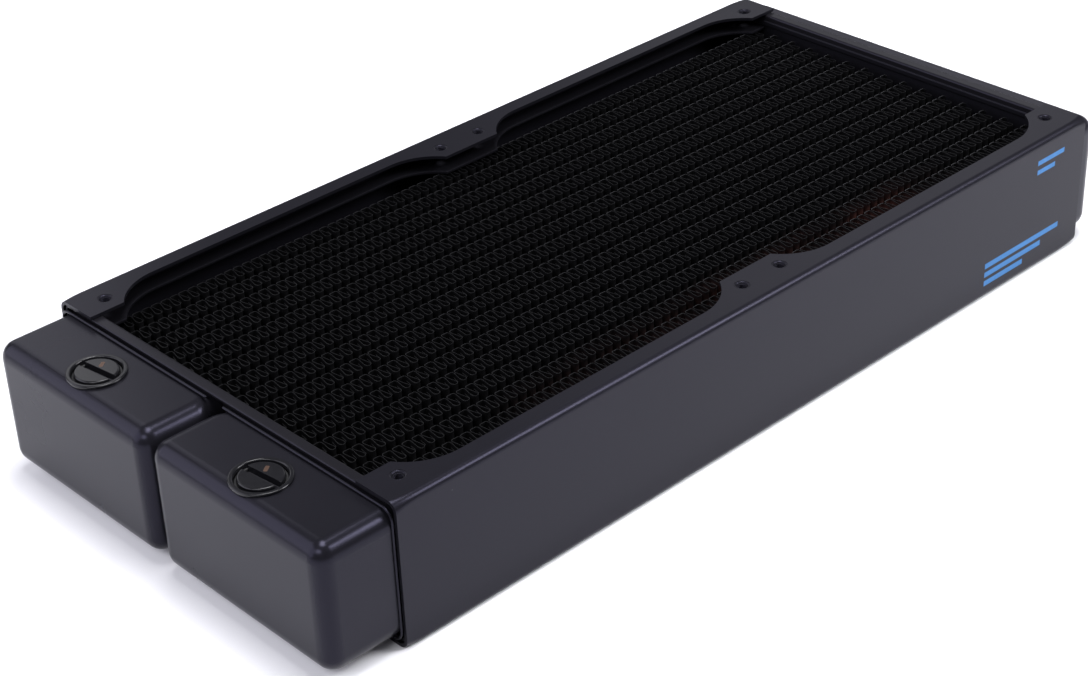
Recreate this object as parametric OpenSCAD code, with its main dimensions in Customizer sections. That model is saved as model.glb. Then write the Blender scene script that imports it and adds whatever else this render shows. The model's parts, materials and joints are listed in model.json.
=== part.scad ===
// Liquid cooling radiator for two 140 mm fans, single port end, brass tanks,
// fourteen flat tubes, corrugated fins, two sheet-metal side channels.
// Frame: +X from the port end to the return end, +Z up, origin at the middle
// of the underside. All sizes in millimetres.

/* [Housing] */
// Width over the two side channels
body_w = 143; // [142.5:0.5:144]
// Height over the flanges
body_h = 44.5; // [44.5:0.5:46]
// Half length of the side channels
panel_half = 141; // [140.5:0.5:141]
// Sheet thickness of the side channels
sheet = 1; // [0.8:0.1:1]
// Outside bend radius of the side channels
bend_r = 2; // [1.5:0.5:3]

/* [Fan fixing] */
// Hole spacing of one fan, both ways
fan_pitch = 124.5; // [124:0.25:125]
// Distance between the neighbouring holes of the two fans
fan_gap = 15.5; // [15:0.25:16]
// Core diameter of the M3 threaded holes
thread_core = 2.5; // [2.4:0.05:2.6]
// Outside diameter of the drawn collar under each hole
collar_d = 4.4; // [4.2:0.1:5]
// Height of the drawn collar below the sheet
collar_h = 1.5; // [1:0.25:2]
// Rim diameter of the dimple at each hole
dimple_d = 4.2; // [3.8:0.1:4.2]
// Width of the flange beside a fan opening, measured from the centre line
opening_half = 64.8; // [64:0.2:65.5]
// Corner radius of a fan opening
opening_r = 18.4; // [17:0.2:20]
// Distance of an ear's straight edge from the centre line
ear_half = 56.5; // [56:0.25:57.5]

/* [Core] */
// Distance between neighbouring tubes
tube_pitch = 8; // [8:1:8]
// Thickness of a flat tube
tube_t = 2.5; // [2:0.1:2.5]
// Width of a flat tube along the air's way
tube_d = 26; // [22:0.5:28]
// Wall thickness of a flat tube
tube_wall = 0.3; // [0.25:0.05:0.4]
// Depth of the fins, from face to face; they stand out over the tubes
core_d = 32.1; // [30:0.1:32.1]
// Length of one full fin wave
fin_pitch = 3.2; // [3.2:0.05:3.6]
// Thickness of the fin sheet
fin_t = 0.18; // [0.12:0.02:0.24]

/* [Tanks] */
// Depth of each port tank along the length
port_tank_d = 23; // [23:0.5:24]
// Depth of the return tank along the length
return_tank_d = 9; // [9:0.5:10]
// Height of the tanks
tank_h = 38.7; // [38:0.1:39]
// Width over the tanks
tank_w = 140; // [139:0.5:140]
// Space between the two port tanks
tank_gap = 1.6; // [1.2:0.2:2]
// Edge radius of the tanks
tank_r = 5; // [3.5:0.5:5]
// Wall thickness of the tanks
tank_wall = 1; // [0.8:0.1:1.2]

/* [Ports] */
// Distance of each port from the centre line
port_y = 35.4; // [34:0.2:37]
// Distance from the middle of the fan pattern to the ports
port_x = 153.7; // [153.5:0.1:154]
// Diameter of the collar round each port
port_collar_d = 16.6; // [16:0.1:17]
// Diameter of the bushing's body below the collar
port_body_d = 15.2; // [15:0.1:15.4]
// Diameter of the threaded bore, over the thread's crests
port_bore_d = 13.2; // [13.2:0.02:13.24]
// Height of the port collar above the tank
port_collar_h = 0.8; // [0.6:0.1:1]
// Diameter of a plug's face
plug_face_d = 12.2; // [12.1:0.1:12.3]
// Width of the coin slot
slot_w = 2; // [1.6:0.1:2.2]
// Depth of the coin slot
slot_d = 2; // [1:0.1:2]

/* [Hidden] */
$fn = 64;
eps = 0.01;
tubes = 14;
// The port end stands out further than the return end, so the fan pattern's
// middle lies off the origin by half the difference.
cx = (port_tank_d - return_tank_d) / 2;
zm = body_h / 2;                 // middle height
wall_in = body_w / 2 - sheet;    // inner face of a side channel
hx1 = fan_gap / 2;               // inner hole of a fan, from the pattern's middle
hx2 = hx1 + fan_pitch;           // outer hole of a fan
hy = fan_pitch / 2;
bay_x0 = 7.6;                    // a fan opening's inner end
bay_x1 = 132.9;                  // a fan opening's outer end
ear_in = 10.7;                   // half length of the middle ear
ear_out = 129.8;                 // start of an end ear
// header pans
hd_x0 = 136.4;                   // tube-plate face towards the fins
hd_x1 = 140.4;                   // rim's end
hd_t = 1;                        // sheet of the pan
hd_z = 21.05;                    // half height over the rim
hd_y = wall_in;                  // half width over the rim
lip_x0 = 141;                    // tank bead
lip_x1 = 141.8;
lip_z = 20.25;                   // half height over the bead
lip_y = 70.6;                    // half width over the bead
lip_gap = 3.5;                   // bead's end beside the gap
tz = tank_h / 2;
core_z = core_d / 2;
guard_t = 0.8;
guard_z = 16.15;                 // guard's face towards the core, from the middle height
side_in = 58.8;                  // core side plate's face towards the fins
side_t = 1;
tube_end = 138.9;                // tubes stand 1.5 mm into the tanks
fin_half = 135.3;
fin_h = tube_pitch - tube_t - 0.04;
waves = floor(2 * fin_half / fin_pitch);
port_top = zm + tz + port_collar_h;
seal_R = 6.43;                   // O-ring
seal_r = 0.45;
seat_z = port_top - 2.1;         // floor of the seal's recess

BLACK = [0.13, 0.13, 0.15];
COPPER = [0.36, 0.22, 0.16];
BRASS = [0.62, 0.52, 0.26];
RUBBER = [0.04, 0.04, 0.04];
GLOSS = [0.20, 0.20, 0.23];

// rectangle with four round corners
module rr(x0, x1, y0, y1, r) {
  union() {
    translate([x0 + r, y0]) square([x1 - x0 - 2 * r, y1 - y0]);
    translate([x0, y0 + r]) square([x1 - x0, y1 - y0 - 2 * r]);
    for (x = [x0 + r, x1 - r], y = [y0 + r, y1 - r]) translate([x, y]) circle(r);
  }
}

// rectangle from x = 0 to x = d with round corners at x = d only
module rr_end(d, y0, y1, r) {
  union() {
    translate([0, y0]) square([d - r, y1 - y0]);
    translate([0, y0 + r]) square([d, y1 - y0 - 2 * r]);
    for (y = [y0 + r, y1 - r]) translate([d - r, y]) circle(r);
  }
}

// box with round edges on all sides but the open one at x = 0
module round_box(d, y0, y1, h, r) {
  intersection() {
    rotate([90, 0, 90]) linear_extrude(d) rr(y0, y1, -h, h, r);
    translate([0, y1, 0]) rotate([90, 0, 0]) linear_extrude(y1 - y0) rr_end(d, -h, h, r);
    translate([0, 0, -h]) linear_extrude(2 * h) rr_end(d, y0, y1, r);
  }
}

module box(x0, x1, y0, y1, z0, z1) {
  translate([x0, y0, z0]) cube([x1 - x0, y1 - y0, z1 - z0]);
}

// outline that the flanges leave open
module fan_openings() {
  union() {
    translate([-panel_half - 2, -ear_half]) square([2 * panel_half + 4, 2 * ear_half]);
    for (s = [0, 1]) mirror([s, 0]) intersection() {
      rr(bay_x0, bay_x1, -opening_half, opening_half, opening_r);
      translate([ear_in, -opening_half - 1]) square([ear_out - ear_in, 2 * opening_half + 2]);
    }
  }
}

// section of a side channel in Y and Z, on the +Y side
module channel_section() {
  y0 = 50;
  y1 = body_w / 2;
  ri = bend_r - sheet;
  difference() {
    union() {
      translate([y0, 0]) square([y1 - y0 - bend_r, body_h]);
      translate([y0, bend_r]) square([y1 - y0, body_h - 2 * bend_r]);
      for (z = [bend_r, body_h - bend_r]) translate([y1 - bend_r, z]) circle(bend_r);
    }
    translate([y0 - 1, sheet]) square([y1 - y0 + 1 - bend_r, body_h - 2 * sheet]);
    translate([y0 - 1, bend_r]) square([y1 - y0 + 1 - sheet, body_h - 2 * bend_r]);
    for (z = [bend_r, body_h - bend_r]) translate([y1 - bend_r, z]) circle(ri);
  }
}

// side channel on the +Y side
module channel() {
  translate([cx, 0, 0]) difference() {
    union() {
      difference() {
        translate([-panel_half, 0, 0]) rotate([90, 0, 90])
          linear_extrude(2 * panel_half) channel_section();
        translate([0, 0, -1]) linear_extrude(body_h + 2) fan_openings();
      }
      for (x = [-hx2, -hx1, hx1, hx2]) {
        translate([x, hy, sheet - eps]) cylinder(d = collar_d, h = collar_h + eps);
        translate([x, hy, body_h - sheet - collar_h]) cylinder(d = collar_d, h = collar_h + eps);
      }
    }
    for (x = [-hx2, -hx1, hx1, hx2]) {
      translate([x, hy, -1]) cylinder(d = thread_core, h = body_h + 2);
      translate([x, hy, body_h - 0.4]) cylinder(d1 = thread_core, d2 = dimple_d, h = 0.4 + eps);
      translate([x, hy, -eps]) cylinder(d1 = dimple_d, d2 = thread_core, h = 0.4 + eps);
    }
  }
}

module side_panel_left() color(BLACK) channel();
module side_panel_right() color(BLACK) mirror([0, 1, 0]) channel();

// sheet that keeps long fan screws off the tubes, +Y side, top
module guard() {
  translate([cx, 0, zm + guard_z]) difference() {
    translate([-hd_x0 + 0.1, 50, 0]) cube([2 * hd_x0 - 0.2, wall_in - 50, guard_t]);
    translate([0, 0, -1]) linear_extrude(guard_t + 2) fan_openings();
  }
}
module flip_z() translate([0, 0, body_h]) mirror([0, 0, 1]) children();

module top_screw_guard_left() color(BLACK) guard();
module top_screw_guard_right() color(BLACK) mirror([0, 1, 0]) guard();
module bottom_screw_guard_left() color(BLACK) flip_z() guard();
module bottom_screw_guard_right() color(BLACK) flip_z() mirror([0, 1, 0]) guard();

// long side plate that closes the core beside the outer fins, +Y side
module core_plate() {
  translate([cx, 0, zm]) box(-hd_x0 + 0.05, hd_x0 - 0.05, side_in, side_in + side_t,
                             -core_z + 1.2, core_z - 1.2);
}
module core_side_plate_left() color(BLACK) core_plate();
module core_side_plate_right() color(BLACK) mirror([0, 1, 0]) core_plate();

// position of tube i, counted from 1 at the -Y side
function tube_y(i) = (i - (tubes + 1) / 2) * tube_pitch;

// section of a flat tube in Y and Z
module tube_section(t, d) {
  union() {
    translate([-t / 2, -d / 2 + t / 2]) square([t, d - t]);
    for (s = [-1, 1]) translate([0, s * (d / 2 - t / 2)]) circle(t / 2);
  }
}

module flat_tube(i) color(BRASS)
  translate([cx - tube_end, tube_y(i), zm]) rotate([90, 0, 90]) linear_extrude(2 * tube_end)
    difference() {
      tube_section(tube_t, tube_d);
      tube_section(tube_t - 2 * tube_wall, tube_d - 2 * tube_wall);
    }

// Corrugated strip. Each wave has a flat crest and a flat root; every corner
// of the mid-line is shifted both ways to give the sheet its thickness.
fin_a = fin_h / 2 - fin_t / 2;                  // mid-line amplitude
fin_flat = 0.9;                                 // half length of a crest
fin_run = fin_pitch / 2 - 2 * fin_flat;         // run of one wall
fin_ang = atan2(2 * fin_a, fin_run);
fin_dx = fin_t / 2 / sin(fin_ang) - fin_t / 2 / tan(fin_ang);
// corner j of the mid-line: 0 and 1 on a root, 2 and 3 on the next crest
function fin_x(j) = floor(j / 4) * fin_pitch +
  [-fin_flat, fin_flat, fin_pitch / 2 - fin_flat, fin_pitch / 2 + fin_flat][j % 4];
function fin_y(j) = (j % 4 < 2) ? -fin_a : fin_a;
function fin_sx(j) = [1, -1, -1, 1][j % 4] * fin_dx;
module fin_outline() {
  n = 4 * waves - 2;
  up = [for (j = [1:n]) [fin_x(j) + fin_sx(j), fin_y(j) + fin_t / 2]];
  dn = [for (j = [n:-1:1]) [fin_x(j) - fin_sx(j), fin_y(j) - fin_t / 2]];
  polygon(concat(up, dn));
}

// fin strip i, counted from 1 at the -Y side
module fin_strip(i) color(COPPER)
  translate([cx - waves * fin_pitch / 2 + fin_pitch / 4, (i - 8) * tube_pitch,
             zm - core_z])
    linear_extrude(core_d) fin_outline();

// header pan at the +X end, given about the pattern's middle
module header_pan() {
  difference() {
    translate([hd_x0, 0, zm]) rotate([90, 0, 90])
      linear_extrude(hd_x1 - hd_x0) rr(-hd_y, hd_y, -hd_z, hd_z, 1.5);
    translate([hd_x0 + hd_t, 0, zm]) rotate([90, 0, 90])
      linear_extrude(hd_x1 - hd_x0) rr(-hd_y + hd_t, hd_y - hd_t, -hd_z + hd_t, hd_z - hd_t, 1);
    for (i = [1:tubes]) translate([hd_x0 - 1, tube_y(i), zm]) rotate([90, 0, 90])
      linear_extrude(hd_t + 2) tube_section(tube_t + 0.04, tube_d + 0.04);
  }
}
module front_header_plate() color(BLACK) translate([cx, 0, 0]) mirror([1, 0, 0]) header_pan();
module rear_header_plate() color(BLACK) translate([cx, 0, 0]) header_pan();

// Tank at the +X end between y0 and y1, with d of depth beyond the channels.
// g0 tells whether the y0 side faces the gap between two tanks.
module tank(y0, y1, d, g0) {
  sk = 137.6;                               // inner end of the skirt
  so = hd_y - hd_t;                         // skirt fills the pan's rim
  sz = hd_z - hd_t;
  s0 = g0 ? y0 : -so;
  b0 = g0 ? lip_gap : -lip_y;
  w = tank_wall;
  translate([0, 0, zm]) difference() {
    union() {
      translate([lip_x0, 0, 0]) round_box(panel_half + d - lip_x0, y0, y1, tz, tank_r);
      translate([sk, 0, 0]) rotate([90, 0, 90]) linear_extrude(lip_x1 - sk)
        rr(s0, so, -sz, sz, 1);
      translate([lip_x0, 0, 0]) rotate([90, 0, 90]) linear_extrude(lip_x1 - lip_x0)
        rr(b0, lip_y, -lip_z, lip_z, 2);
    }
    translate([lip_x0 - 1, 0, 0])
      round_box(panel_half + d - lip_x0 + 1 - w, y0 + w, y1 - w, tz - w, tank_r - w);
    translate([sk - 1, 0, 0]) rotate([90, 0, 90]) linear_extrude(lip_x0 - sk + 1)
      rr(s0 + w, so - w, -sz + w, sz - w, 0.8);
  }
}

module port_tank() {
  difference() {
    tank(tank_gap / 2, tank_w / 2, port_tank_d, true);
    translate([port_x, port_y, zm]) cylinder(d = port_body_d + 0.04, h = 30);
  }
}
module outlet_tank() color(BLACK) translate([cx, 0, 0]) mirror([1, 0, 0]) port_tank();
module inlet_tank() color(BLACK) translate([cx, 0, 0]) mirror([1, 0, 0]) mirror([0, 1, 0]) port_tank();
module return_tank() color(BLACK) translate([cx, 0, 0])
  tank(-tank_w / 2, tank_w / 2, return_tank_d, false);

// places its children on a port's axis, s = -1 for the inlet
module at_port(s) translate([cx - port_x, s * port_y, 0]) children();

// threaded bushing, its thread simplified to a plain bore over the crests
module bushing() {
  rb = port_bore_d / 2;
  rotate_extrude() polygon([
    [rb, port_top - 9], [port_body_d / 2, port_top - 9],
    [port_body_d / 2, port_top - port_collar_h],
    [port_collar_d / 2, port_top - port_collar_h],
    [port_collar_d / 2, port_top - 0.3], [port_collar_d / 2 - 0.3, port_top],
    [7.15, port_top], [6.95, port_top - 0.3], [6.95, seat_z], [rb, seat_z]]);
}
module inlet_port_bushing() color(BLACK) at_port(-1) bushing();
module outlet_port_bushing() color(BLACK) at_port(1) bushing();

// plug with a coin slot, its face just above the collar, turned to a degrees about its axis
module plug(a) {
  top = port_top + 0.1;
  rf = plug_face_d / 2;
  rt = port_bore_d / 2 - 0.05;
  difference() {
    rotate_extrude() polygon([
      [0, port_top - 8.4], [rt - 0.7, port_top - 8.4], [rt, port_top - 7.7],
      [rt, seat_z - 0.05], [5.95, seat_z - 0.05], [5.95, seat_z + 1],
      [rf, seat_z + 1], [rf, top - 0.5], [rf - 0.5, top], [0, top]]);
    rotate([0, 0, a]) box(-slot_w / 2, slot_w / 2, -8, 8, top - slot_d, top + 1);
  }
}
module inlet_plug() color(GLOSS) at_port(-1) plug(5.6);
module outlet_plug() color(GLOSS) at_port(1) plug(7.8);

module seal() translate([0, 0, seat_z + 0.03 + seal_r])
  rotate_extrude() translate([seal_R, 0]) circle(seal_r);
module inlet_plug_seal() color(RUBBER) at_port(-1) seal();
module outlet_plug_seal() color(RUBBER) at_port(1) seal();

side_panel_left();
side_panel_right();
inlet_tank();
outlet_tank();
return_tank();
front_header_plate();
rear_header_plate();
flat_tube(1);  // flat_tube_01
flat_tube(2);  // flat_tube_02
flat_tube(3);  // flat_tube_03
flat_tube(4);  // flat_tube_04
flat_tube(5);  // flat_tube_05
flat_tube(6);  // flat_tube_06
flat_tube(7);  // flat_tube_07
flat_tube(8);  // flat_tube_08
flat_tube(9);  // flat_tube_09
flat_tube(10);  // flat_tube_10
flat_tube(11);  // flat_tube_11
flat_tube(12);  // flat_tube_12
flat_tube(13);  // flat_tube_13
flat_tube(14);  // flat_tube_14
fin_strip(1);  // fin_strip_01
fin_strip(2);  // fin_strip_02
fin_strip(3);  // fin_strip_03
fin_strip(4);  // fin_strip_04
fin_strip(5);  // fin_strip_05
fin_strip(6);  // fin_strip_06
fin_strip(7);  // fin_strip_07
fin_strip(8);  // fin_strip_08
fin_strip(9);  // fin_strip_09
fin_strip(10);  // fin_strip_10
fin_strip(11);  // fin_strip_11
fin_strip(12);  // fin_strip_12
fin_strip(13);  // fin_strip_13
fin_strip(14);  // fin_strip_14
fin_strip(15);  // fin_strip_15
core_side_plate_left();
core_side_plate_right();
top_screw_guard_left();
top_screw_guard_right();
bottom_screw_guard_left();
bottom_screw_guard_right();
inlet_port_bushing();
outlet_port_bushing();
inlet_plug_seal();
outlet_plug_seal();
inlet_plug();
outlet_plug();
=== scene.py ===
"""Looks of the liquid cooling radiator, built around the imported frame."""
import bpy
import bmesh
import json
import math
import random
import numpy as np
from mathutils import Matrix, Vector
from mathutils.geometry import delaunay_2d_cdt
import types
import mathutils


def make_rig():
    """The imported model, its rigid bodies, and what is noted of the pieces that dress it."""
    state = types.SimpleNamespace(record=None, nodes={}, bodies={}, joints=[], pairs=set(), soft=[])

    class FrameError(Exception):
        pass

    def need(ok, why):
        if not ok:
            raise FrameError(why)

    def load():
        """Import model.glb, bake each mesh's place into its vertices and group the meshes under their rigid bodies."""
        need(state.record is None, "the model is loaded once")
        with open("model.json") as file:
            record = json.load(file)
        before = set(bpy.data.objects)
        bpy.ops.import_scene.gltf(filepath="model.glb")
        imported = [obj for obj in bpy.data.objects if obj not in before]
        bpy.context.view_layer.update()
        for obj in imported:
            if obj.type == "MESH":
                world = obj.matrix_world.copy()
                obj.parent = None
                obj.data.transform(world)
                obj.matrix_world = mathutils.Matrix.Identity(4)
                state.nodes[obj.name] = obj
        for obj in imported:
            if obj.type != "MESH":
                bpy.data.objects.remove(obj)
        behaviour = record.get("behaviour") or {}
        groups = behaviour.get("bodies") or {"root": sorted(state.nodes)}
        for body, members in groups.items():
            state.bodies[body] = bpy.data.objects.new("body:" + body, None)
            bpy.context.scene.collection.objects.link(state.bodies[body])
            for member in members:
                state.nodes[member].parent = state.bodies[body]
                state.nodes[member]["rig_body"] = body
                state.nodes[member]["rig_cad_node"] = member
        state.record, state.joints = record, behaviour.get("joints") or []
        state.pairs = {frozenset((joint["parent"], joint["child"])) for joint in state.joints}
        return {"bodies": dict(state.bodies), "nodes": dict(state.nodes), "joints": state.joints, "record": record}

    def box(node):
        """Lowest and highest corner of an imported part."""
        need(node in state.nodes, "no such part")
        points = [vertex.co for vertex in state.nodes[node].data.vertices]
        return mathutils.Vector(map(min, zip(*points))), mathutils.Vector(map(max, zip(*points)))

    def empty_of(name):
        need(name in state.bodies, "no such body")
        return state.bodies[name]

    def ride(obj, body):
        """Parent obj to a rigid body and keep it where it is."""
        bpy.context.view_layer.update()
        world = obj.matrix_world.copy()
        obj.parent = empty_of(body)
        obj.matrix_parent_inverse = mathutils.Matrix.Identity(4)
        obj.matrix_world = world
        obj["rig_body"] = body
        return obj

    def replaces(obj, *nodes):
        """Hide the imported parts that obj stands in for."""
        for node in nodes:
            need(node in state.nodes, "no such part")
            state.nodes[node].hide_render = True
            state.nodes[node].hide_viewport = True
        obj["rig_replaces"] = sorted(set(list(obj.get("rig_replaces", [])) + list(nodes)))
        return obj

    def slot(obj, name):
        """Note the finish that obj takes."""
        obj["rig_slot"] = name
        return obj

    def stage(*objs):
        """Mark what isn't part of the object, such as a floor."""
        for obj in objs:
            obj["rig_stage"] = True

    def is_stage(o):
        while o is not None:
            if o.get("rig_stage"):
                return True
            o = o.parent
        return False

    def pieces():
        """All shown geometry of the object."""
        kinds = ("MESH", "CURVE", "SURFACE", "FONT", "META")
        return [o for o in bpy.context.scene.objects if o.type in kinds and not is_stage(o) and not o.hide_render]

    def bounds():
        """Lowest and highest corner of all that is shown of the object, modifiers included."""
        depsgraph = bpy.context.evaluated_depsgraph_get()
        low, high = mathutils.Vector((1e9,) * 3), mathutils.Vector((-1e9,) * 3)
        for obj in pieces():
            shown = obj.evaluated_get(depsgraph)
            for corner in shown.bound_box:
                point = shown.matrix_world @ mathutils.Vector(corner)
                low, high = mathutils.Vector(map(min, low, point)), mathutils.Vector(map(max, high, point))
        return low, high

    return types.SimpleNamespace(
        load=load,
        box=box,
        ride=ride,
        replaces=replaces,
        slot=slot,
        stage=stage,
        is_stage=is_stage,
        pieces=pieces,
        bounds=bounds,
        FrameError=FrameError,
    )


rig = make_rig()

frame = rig.load()
cad_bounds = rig.bounds()
MM = 0.001

# ---------------------------------------------------------------- dimensions
# All in millimetres in the row frame: X along, Y across, Z up from the underside.
lo_p, hi_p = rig.box("side_panel_left")
lo_all, hi_all = cad_bounds[0], cad_bounds[1]
CX = 0.5 * (lo_p.x + hi_p.x) / MM            # middle of the fan pattern
HALF = 0.5 * (hi_p.x - lo_p.x) / MM          # half length of the channels
H = hi_p.z / MM                              # height over the flanges
ZM = H / 2
YO = hi_p.y / MM                             # outer face of the channels
SHEET = 1.0
YI = YO - SHEET
HY = 62.25
HXS = (-132.25, -7.75, 7.75, 132.25)
EAR = 56.5
OPEN = 64.8
ORAD = 18.4
BX0, BX1 = 7.6, 132.9

BODY = "radiator"


# ---------------------------------------------------------------- mesh helpers
def to_object(name, verts, faces, body=BODY, replaces=(), slot=None, mats=(), angle=32.0,
              matidx=None, weighted=True):
    """verts in mm, row frame."""
    me = bpy.data.meshes.new(name)
    v = np.asarray(verts, float) * MM
    me.from_pydata([tuple(p) for p in v], [], [tuple(f) for f in faces])
    me.validate(verbose=False)
    me.update()
    ob = bpy.data.objects.new(name, me)
    bpy.context.scene.collection.objects.link(ob)
    for m in mats:
        me.materials.append(m)
    if matidx is not None:
        me.polygons.foreach_set("material_index", np.asarray(matidx, np.int32))
    finish_mesh(ob, angle, weighted)
    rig.ride(ob, body)
    if replaces:
        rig.replaces(ob, *replaces)
    if slot:
        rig.slot(ob, slot)
    return ob


def finish_mesh(ob, angle=32.0, weighted=True):
    """Smooth shading; flat regions keep their own normal, however they are cut into faces."""
    me = ob.data
    me.polygons.foreach_set("use_smooth", np.ones(len(me.polygons), bool))
    if not weighted:
        me.set_sharp_from_angle(angle=math.radians(angle))
        return
    nf, nl = len(me.polygons), len(me.loops)
    nrm = np.empty(nf * 3)
    me.polygons.foreach_get("normal", nrm)
    nrm = nrm.reshape(-1, 3)
    area = np.empty(nf)
    me.polygons.foreach_get("area", area)
    tot = np.empty(nf, np.int32)
    me.polygons.foreach_get("loop_total", tot)
    lv = np.empty(nl, np.int32)
    me.loops.foreach_get("vertex_index", lv)
    le = np.empty(nl, np.int32)
    me.loops.foreach_get("edge_index", le)
    lf = np.repeat(np.arange(nf), tot)
    # regions of faces lying in one plane
    parent = list(range(nf))

    def root(a):
        while parent[a] != a:
            parent[a] = parent[parent[a]]
            a = parent[a]
        return a

    order = np.argsort(le, kind="stable")
    es, fs = le[order], lf[order]
    for i in np.nonzero(es[1:] == es[:-1])[0]:
        a, b = fs[i], fs[i + 1]
        if nrm[a] @ nrm[b] > 0.99998:
            ra, rb = root(a), root(b)
            if ra != rb:
                parent[ra] = rb
    reg = np.array([root(i) for i in range(nf)])
    rarea = np.zeros(nf)
    np.add.at(rarea, reg, area)
    w = rarea[reg]
    # every corner takes the area weighted normal of the planes that meet it within the angle
    start = np.argsort(lv, kind="stable")
    sv = lv[start]
    first = np.searchsorted(sv, np.arange(len(me.vertices)))
    last = np.searchsorted(sv, np.arange(len(me.vertices)), side="right")
    cosl = math.cos(math.radians(angle))
    out = np.zeros((nl, 3))
    for v in range(len(me.vertices)):
        ls = start[first[v]:last[v]]
        if len(ls) == 0:
            continue
        f = lf[ls]
        _, u = np.unique(reg[f], return_index=True)
        fu = f[u]
        n_u, w_u = nrm[fu], w[fu]
        near = (nrm[f] @ n_u.T) > cosl
        acc = near.astype(float) @ (n_u * w_u[:, None])
        ln = np.linalg.norm(acc, axis=1)
        ln[ln == 0] = 1.0
        out[ls] = acc / ln[:, None]
    me.set_sharp_from_angle(angle=math.radians(angle))
    me.normals_split_custom_set(out.tolist())


def bm_object(name, bm, body=BODY, replaces=(), slot=None, mats=(), angle=32.0, weighted=True):
    """bm in mm, row frame."""
    bmesh.ops.recalc_face_normals(bm, faces=bm.faces[:])
    me = bpy.data.meshes.new(name)
    for v in bm.verts:
        v.co = v.co * MM
    bm.to_mesh(me)
    bm.free()
    ob = bpy.data.objects.new(name, me)
    bpy.context.scene.collection.objects.link(ob)
    for m in mats:
        me.materials.append(m)
    finish_mesh(ob, angle, weighted)
    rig.ride(ob, body)
    if replaces:
        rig.replaces(ob, *replaces)
    if slot:
        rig.slot(ob, slot)
    return ob


class Soup:
    """Collects vertices and faces in mm."""

    def __init__(self):
        self.v = []
        self.f = []

    def add(self, verts, faces):
        n = len(self.v)
        self.v.extend([tuple(map(float, p)) for p in verts])
        self.f.extend([tuple(n + i for i in f) for f in faces])
        return n

    def bm(self, dist=1e-4):
        bm = bmesh.new()
        vs = [bm.verts.new(p) for p in self.v]
        for f in self.f:
            try:
                bm.faces.new([vs[i] for i in f])
            except ValueError:
                pass
        if dist:
            bmesh.ops.remove_doubles(bm, verts=bm.verts[:], dist=dist)
        return bm


def lathe(profile, centre, n=64, closed=True):
    """Profile [(r, z)...] turned about a vertical axis at centre (x, y). Closed profiles loop."""
    cx, cy = centre
    verts, faces, rings = [], [], []
    for r, z in profile:
        if r < 1e-6:
            rings.append([len(verts)])
            verts.append((cx, cy, z))
        else:
            rings.append(list(range(len(verts), len(verts) + n)))
            for k in range(n):
                a = 2 * math.pi * k / n
                verts.append((cx + r * math.cos(a), cy + r * math.sin(a), z))
    m = len(profile)
    for i in range(m if closed else m - 1):
        a, b = rings[i], rings[(i + 1) % m]
        if len(a) == 1 and len(b) == 1:
            continue
        for k in range(n):
            k2 = (k + 1) % n
            if len(a) == 1:
                faces.append((a[0], b[k2], b[k]))
            elif len(b) == 1:
                faces.append((a[k], a[k2], b[0]))
            else:
                faces.append((a[k], a[k2], b[k2], b[k]))
    return verts, faces


def inside(pt, poly):
    x, y = pt
    c = False
    n = len(poly)
    j = n - 1
    for i in range(n):
        xi, yi = poly[i]
        xj, yj = poly[j]
        if (yi > y) != (yj > y) and x < (xj - xi) * (y - yi) / (yj - yi) + xi:
            c = not c
        j = i
    return c


def fill(outer, holes):
    """Triangles of a flat region. Returns (points, triangles)."""
    pts, edges = [], []
    for loop in [outer] + list(holes):
        s = len(pts)
        pts.extend([Vector((p[0], p[1])) for p in loop])
        n = len(loop)
        edges.extend([(s + i, s + (i + 1) % n) for i in range(n)])
    out = delaunay_2d_cdt(pts, edges, [], 0, 1e-6)
    v, f = out[0], out[2]
    keep = []
    for t in f:
        c = [sum(v[i][k] for i in t) / len(t) for k in (0, 1)]
        if inside(c, outer) and not any(inside(c, h) for h in holes):
            keep.append(tuple(t))
    return [(p[0], p[1]) for p in v], keep


def arc(cx, cy, r, a0, a1, n):
    return [(cx + r * math.cos(math.radians(a0 + (a1 - a0) * k / n)),
             cy + r * math.sin(math.radians(a0 + (a1 - a0) * k / n))) for k in range(n + 1)]


def slab(outline_top, outline_bot, holes_top, holes_bot, z0, z1):
    """Closed flat plate from two outlines with the same number of points."""
    s = Soup()
    pt, ft = fill(outline_top, holes_top)
    pb, fb = fill(outline_bot, holes_bot)
    s.add([(x, y, z1) for x, y in pt], ft)
    s.add([(x, y, z0) for x, y in pb], [tuple(reversed(t)) for t in fb])
    for lt, lb in zip([outline_top] + list(holes_top), [outline_bot] + list(holes_bot)):
        n = len(lt)
        s.add([(x, y, z1) for x, y in lt] + [(x, y, z0) for x, y in lb],
              [(i, (i + 1) % n, n + (i + 1) % n, n + i) for i in range(n)])
    return s


def bevel_sharp(bm, width, deg=50.0, segments=2, only=None):
    bm.normal_update()
    es = []
    for e in bm.edges:
        if len(e.link_faces) == 2:
            a = e.calc_face_angle(0.0)
            if a > math.radians(deg) and (only is None or only(e)):
                es.append(e)
    if es:
        bmesh.ops.bevel(bm, geom=es, offset=width, offset_type="OFFSET", segments=segments,
                        profile=0.5, affect="EDGES", clamp_overlap=True)


# ---------------------------------------------------------------- materials
def new_mat(name):
    m = bpy.data.materials.new(name)
    m.use_nodes = True
    nt = m.node_tree
    nt.nodes.clear()
    out = nt.nodes.new("ShaderNodeOutputMaterial")
    bs = nt.nodes.new("ShaderNodeBsdfPrincipled")
    nt.links.new(bs.outputs["BSDF"], out.inputs["Surface"])
    return m, nt, bs


def node(nt, kind, **kw):
    n = nt.nodes.new(kind)
    for k, v in kw.items():
        if hasattr(n, k):
            setattr(n, k, v)
        else:
            n.inputs[k].default_value = v
    return n


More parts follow.
